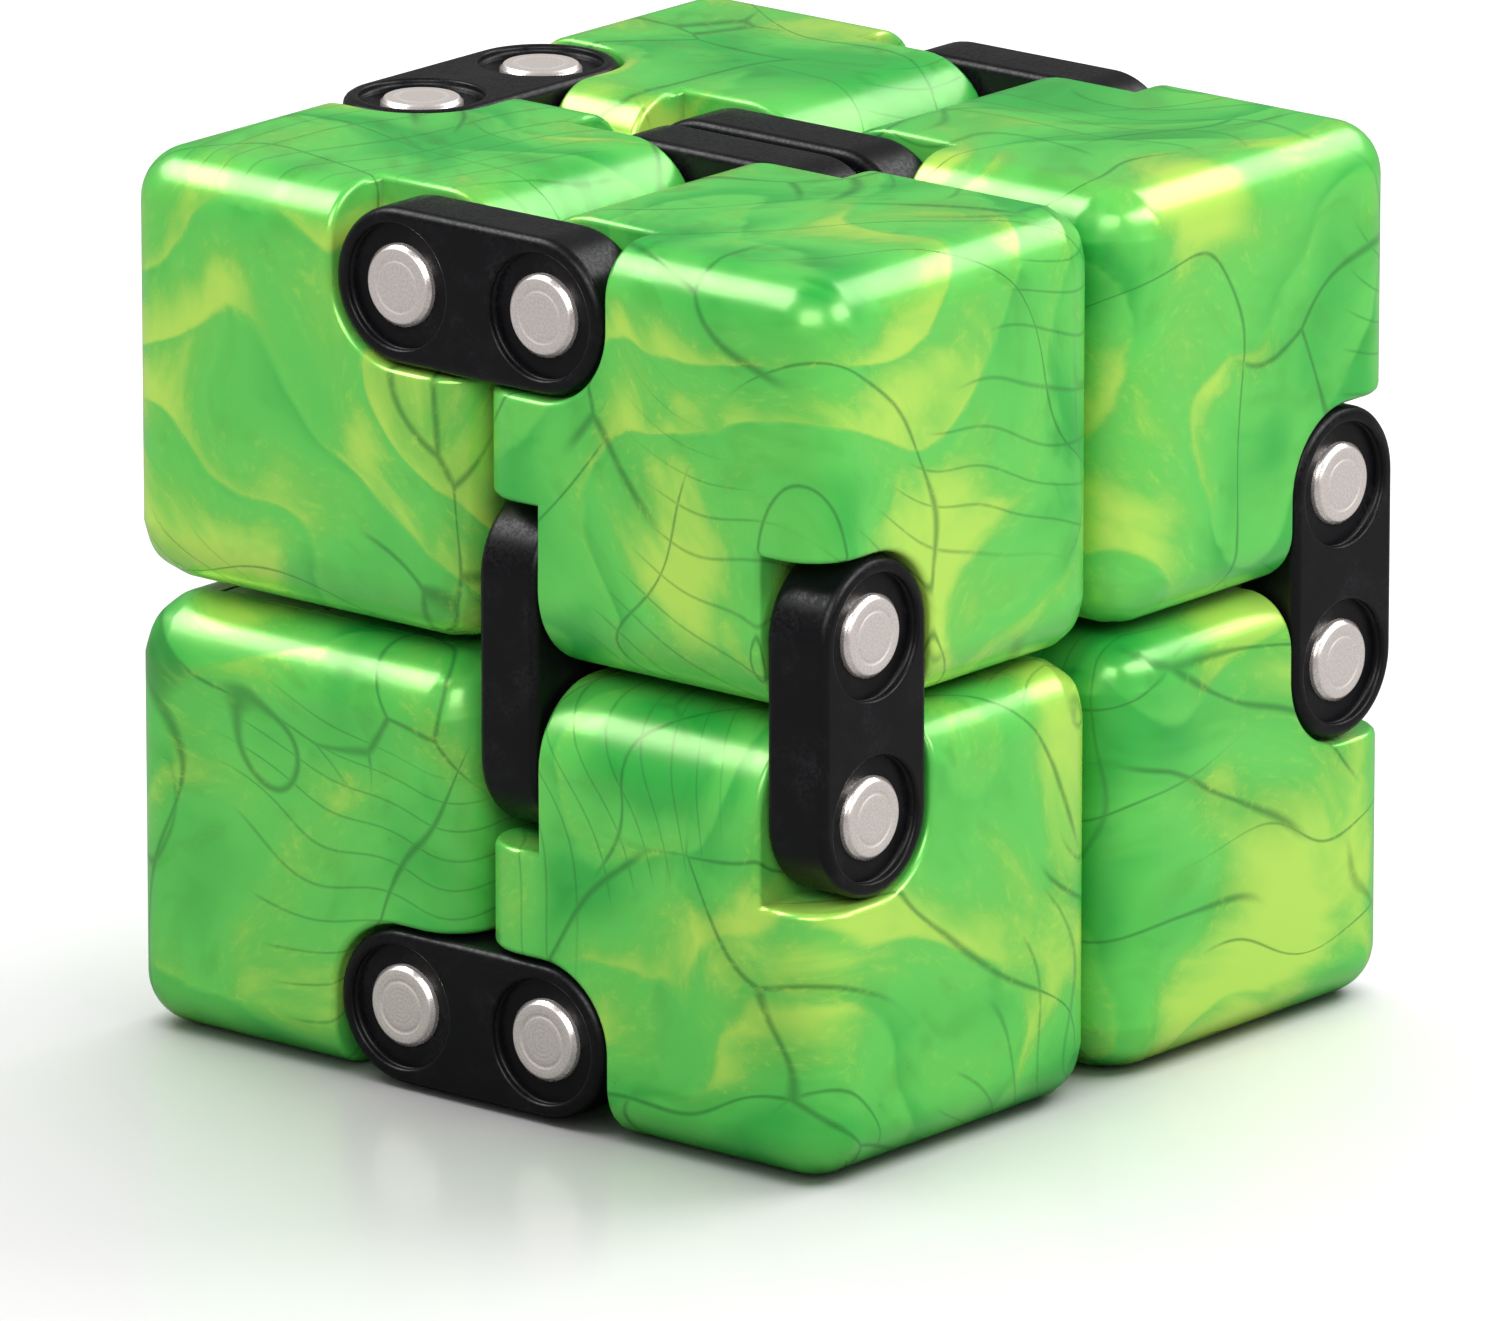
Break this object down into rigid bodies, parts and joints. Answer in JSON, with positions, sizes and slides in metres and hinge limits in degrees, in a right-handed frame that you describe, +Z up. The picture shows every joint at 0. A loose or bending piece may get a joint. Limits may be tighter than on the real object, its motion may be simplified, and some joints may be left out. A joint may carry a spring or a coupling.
{
  "type": "infinity cube fidget toy",
  "caption": "Folding cube of hollow cubelets in a closed ring, joined at their edges by double-pin link hinges.",
  "frame": {"origin": "middle of the closed cube's underside, on the surface that it stands on", "axes": "+Z up; +X to the right along the front face, whose hinges lie along its top and bottom edges; +Y from the front face to the back"},
  "size_m": [0.04, 0.04, 0.04],
  "materials": {
    "cubelet_green": "pearlescent swirl, gloss",
    "link_black": "satin moulded",
    "pin_steel": "turned, nickel plated"
  },
  "bodies": {
    "top_front_left_cubelet": {"top_front_left_shell": "cubelet_green", "top_front_left_lid": "cubelet_green"},
    "top_front_right_cubelet": {"top_front_right_shell": "cubelet_green", "top_front_right_lid": "cubelet_green"},
    "top_back_right_cubelet": {"top_back_right_shell": "cubelet_green", "top_back_right_lid": "cubelet_green"},
    "top_back_left_cubelet": {"top_back_left_shell": "cubelet_green", "top_back_left_lid": "cubelet_green"},
    "bottom_front_left_cubelet": {"bottom_front_left_shell": "cubelet_green", "bottom_front_left_lid": "cubelet_green"},
    "bottom_front_right_cubelet": {"bottom_front_right_shell": "cubelet_green", "bottom_front_right_lid": "cubelet_green"},
    "bottom_back_right_cubelet": {"bottom_back_right_shell": "cubelet_green", "bottom_back_right_lid": "cubelet_green"},
    "bottom_back_left_cubelet": {"bottom_back_left_shell": "cubelet_green", "bottom_back_left_lid": "cubelet_green"},
    "top_front_link": {"top_front_link_outer_plate": "link_black", "top_front_link_inner_plate": "link_black", "top_front_link_left_pin": "pin_steel", "top_front_link_right_pin": "pin_steel"},
    "top_back_link": {"top_back_link_outer_plate": "link_black", "top_back_link_inner_plate": "link_black", "top_back_link_left_pin": "pin_steel", "top_back_link_right_pin": "pin_steel"},
    "bottom_front_link": {"bottom_front_link_outer_plate": "link_black", "bottom_front_link_inner_plate": "link_black", "bottom_front_link_left_pin": "pin_steel", "bottom_front_link_right_pin": "pin_steel"},
    "bottom_back_link": {"bottom_back_link_outer_plate": "link_black", "bottom_back_link_inner_plate": "link_black", "bottom_back_link_left_pin": "pin_steel", "bottom_back_link_right_pin": "pin_steel"},
    "front_right_link": {"front_right_link_outer_plate": "link_black", "front_right_link_inner_plate": "link_black", "front_right_link_lower_pin": "pin_steel", "front_right_link_upper_pin": "pin_steel"},
    "back_right_link": {"back_right_link_outer_plate": "link_black", "back_right_link_inner_plate": "link_black", "back_right_link_lower_pin": "pin_steel", "back_right_link_upper_pin": "pin_steel"},
    "upper_left_link": {"upper_left_link_outer_plate": "link_black", "upper_left_link_inner_plate": "link_black", "upper_left_link_front_pin": "pin_steel", "upper_left_link_back_pin": "pin_steel"},
    "lower_left_link": {"lower_left_link_outer_plate": "link_black", "lower_left_link_inner_plate": "link_black", "lower_left_link_front_pin": "pin_steel", "lower_left_link_back_pin": "pin_steel"}
  },
  "joints": [
    {"name": "top_left_flip", "type": "hinge", "parent": "top_back_right_cubelet", "child": "top_back_link", "pos_m": [0.00405, 0.01015, 0.03625], "axis": [0, 1, 0], "range_deg": [0, 90]},
    {"name": "top_back_link_left_turn", "type": "hinge", "parent": "top_back_link", "child": "top_back_left_cubelet", "pos_m": [-0.00405, 0.01015, 0.03625], "axis": [0, 1, 0], "range_deg": [0, 90]},
    {"name": "top_front_link_left_turn", "type": "hinge", "parent": "top_front_left_cubelet", "child": "top_front_link", "pos_m": [-0.00405, -0.01015, 0.03625], "axis": [0, -1, 0], "range_deg": [0, 90]},
    {"name": "top_front_link_right_turn", "type": "hinge", "parent": "top_front_link", "child": "top_front_right_cubelet", "pos_m": [0.00405, -0.01015, 0.03625], "axis": [0, -1, 0], "range_deg": [0, 90]},
    {"name": "front_half_swing", "type": "hinge", "parent": "top_back_left_cubelet", "child": "upper_left_link", "pos_m": [-0.01625, 0.00405, 0.03015], "axis": [0, 0, -1], "range_deg": [0, 90]},
    {"name": "upper_left_link_front_turn", "type": "hinge", "parent": "upper_left_link", "child": "top_front_left_cubelet", "pos_m": [-0.01625, -0.00405, 0.03015], "axis": [0, 0, -1], "range_deg": [0, 90]},
    {"name": "lower_left_link_back_turn", "type": "hinge", "parent": "bottom_back_left_cubelet", "child": "lower_left_link", "pos_m": [-0.01625, 0.00405, 0.00985], "axis": [0, 0, -1], "range_deg": [0, 90]},
    {"name": "lower_left_link_front_turn", "type": "hinge", "parent": "lower_left_link", "child": "bottom_front_left_cubelet", "pos_m": [-0.01625, -0.00405, 0.00985], "axis": [0, 0, -1], "range_deg": [0, 90]},
    {"name": "bottom_left_flip", "type": "hinge", "parent": "bottom_back_right_cubelet", "child": "bottom_back_link", "pos_m": [0.00405, 0.01015, 0.00375], "axis": [0, -1, 0], "range_deg": [0, 90]},
    {"name": "bottom_back_link_left_turn", "type": "hinge", "parent": "bottom_back_link", "child": "bottom_back_left_cubelet", "pos_m": [-0.00405, 0.01015, 0.00375], "axis": [0, -1, 0], "range_deg": [0, 90]},
    {"name": "bottom_front_link_left_turn", "type": "hinge", "parent": "bottom_front_left_cubelet", "child": "bottom_front_link", "pos_m": [-0.00405, -0.01015, 0.00375], "axis": [0, 1, 0], "range_deg": [0, 90]},
    {"name": "bottom_front_link_right_turn", "type": "hinge", "parent": "bottom_front_link", "child": "bottom_front_right_cubelet", "pos_m": [0.00405, -0.01015, 0.00375], "axis": [0, 1, 0], "range_deg": [0, 90]},
    {"name": "top_half_swing", "type": "hinge", "parent": "bottom_back_right_cubelet", "child": "back_right_link", "pos_m": [0.01015, 0.01625, 0.01595], "axis": [-1, 0, 0], "range_deg": [0, 90]},
    {"name": "back_right_link_upper_turn", "type": "hinge", "parent": "back_right_link", "child": "top_back_right_cubelet", "pos_m": [0.01015, 0.01625, 0.02405], "axis": [-1, 0, 0], "range_deg": [0, 90]},
    {"name": "front_right_link_lower_turn", "type": "hinge", "parent": "bottom_front_right_cubelet", "child": "front_right_link", "pos_m": [0.01015, -0.01625, 0.01595], "axis": [1, 0, 0], "range_deg": [0, 90]}
  ],
  "couplings": [
    {"joint": "top_back_link_left_turn", "follows": "top_left_flip", "ratio": 1},
    {"joint": "top_front_link_left_turn", "follows": "top_left_flip", "ratio": 1},
    {"joint": "top_front_link_right_turn", "follows": "top_left_flip", "ratio": 1},
    {"joint": "upper_left_link_front_turn", "follows": "front_half_swing", "ratio": 1},
    {"joint": "lower_left_link_back_turn", "follows": "front_half_swing", "ratio": 1},
    {"joint": "lower_left_link_front_turn", "follows": "front_half_swing", "ratio": 1},
    {"joint": "bottom_back_link_left_turn", "follows": "bottom_left_flip", "ratio": 1},
    {"joint": "bottom_front_link_left_turn", "follows": "bottom_left_flip", "ratio": 1},
    {"joint": "bottom_front_link_right_turn", "follows": "bottom_left_flip", "ratio": 1},
    {"joint": "back_right_link_upper_turn", "follows": "top_half_swing", "ratio": 1},
    {"joint": "front_right_link_lower_turn", "follows": "top_half_swing", "ratio": 1}
  ]
}
